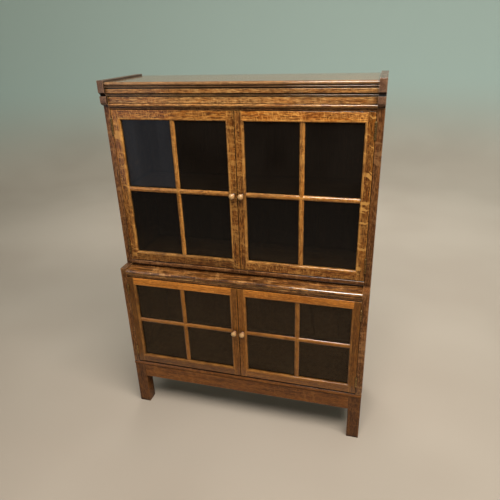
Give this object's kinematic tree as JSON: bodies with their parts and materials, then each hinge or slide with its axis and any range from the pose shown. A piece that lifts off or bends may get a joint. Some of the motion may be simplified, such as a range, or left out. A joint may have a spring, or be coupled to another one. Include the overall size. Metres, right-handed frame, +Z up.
{
  "type": "glazed sectional bookcase",
  "caption": "Two-section oak bookcase with paired hinged glass doors, a moulded crown, a stepped ledge and a plinth on square legs.",
  "frame": {"origin": "on the floor, at the middle of the bounding box", "axes": "+X to the right seen from the front, the glazed front faces -Y, +Z up"},
  "size_m": [0.89, 0.324, 1.26],
  "materials": {
    "door_oak": "quarter-sawn oak, golden brown, waxed to a satin shine",
    "case_oak": "oak stained a darker reddish brown, waxed",
    "crown_oak": "oak, polished, with bright mouldings",
    "dark_oak": "oak stained dark brown, waxed",
    "inner_oak": "dark stained oak, dull",
    "knob_wood": "turned wood, worn paler on the face",
    "glass": "clear window glass, 3 mm",
    "brass": "aged brass"
  },
  "bodies": {
    "case": {"plinth_legs": "dark_oak", "plinth_front_rail": "dark_oak", "plinth_rails": "dark_oak", "plinth_top_frame": "dark_oak", "lower_side_right": "case_oak", "lower_side_left": "case_oak", "upper_side_right": "case_oak", "upper_side_left": "case_oak", "ledge_board": "case_oak", "lower_facing_strip": "case_oak", "lower_bottom_board": "inner_oak", "lower_back_panel": "inner_oak", "upper_bottom_board": "case_oak", "upper_top_board": "inner_oak", "upper_facing_strip": "case_oak", "upper_back_panel": "inner_oak", "shelf": "inner_oak", "shelf_bearers": "inner_oak", "crown_end_right": "case_oak", "crown_end_left": "case_oak", "crown_top_board": "crown_oak", "crown_fascia": "crown_oak", "crown_frieze": "crown_oak", "crown_back_rail": "inner_oak", "jamb_hinge_leaves": "brass", "hinge_pins": "brass", "jamb_hinge_screws": "brass"},
    "upper_left_door": {"upper_left_door_stiles": "door_oak", "upper_left_door_rails": "door_oak", "upper_left_door_glazing_bars": "door_oak", "upper_left_door_panes": "glass", "upper_left_door_glazing_beads": "inner_oak", "upper_left_door_knob": "knob_wood", "upper_left_door_hinge_leaves": "brass", "upper_left_door_hinge_screws": "brass"},
    "upper_right_door": {"upper_right_door_stiles": "door_oak", "upper_right_door_rails": "door_oak", "upper_right_door_glazing_bars": "door_oak", "upper_right_door_panes": "glass", "upper_right_door_glazing_beads": "inner_oak", "upper_right_door_knob": "knob_wood", "upper_right_door_hinge_leaves": "brass", "upper_right_door_hinge_screws": "brass"},
    "lower_left_door": {"lower_left_door_stiles": "door_oak", "lower_left_door_rails": "door_oak", "lower_left_door_glazing_bars": "door_oak", "lower_left_door_panes": "glass", "lower_left_door_glazing_beads": "inner_oak", "lower_left_door_knob": "knob_wood", "lower_left_door_hinge_leaves": "brass", "lower_left_door_hinge_screws": "brass"},
    "lower_right_door": {"lower_right_door_stiles": "door_oak", "lower_right_door_rails": "door_oak", "lower_right_door_glazing_bars": "door_oak", "lower_right_door_panes": "glass", "lower_right_door_glazing_beads": "inner_oak", "lower_right_door_knob": "knob_wood", "lower_right_door_hinge_leaves": "brass", "lower_right_door_hinge_screws": "brass"}
  },
  "joints": [
    {"name": "upper_left_door_hinge", "type": "hinge", "parent": "case", "child": "upper_left_door", "pos_m": [-0.4229, -0.0895, 0.89875], "axis": [0, 0, -1], "range_deg": [0, 120]},
    {"name": "upper_right_door_hinge", "type": "hinge", "parent": "case", "child": "upper_right_door", "pos_m": [0.4229, -0.0895, 0.89875], "axis": [0, 0, 1], "range_deg": [0, 120]},
    {"name": "lower_left_door_hinge", "type": "hinge", "parent": "case", "child": "lower_left_door", "pos_m": [-0.4229, -0.1415, 0.39225], "axis": [0, 0, -1], "range_deg": [0, 120]},
    {"name": "lower_right_door_hinge", "type": "hinge", "parent": "case", "child": "lower_right_door", "pos_m": [0.4229, -0.1415, 0.39225], "axis": [0, 0, 1], "range_deg": [0, 120]}
  ]
}
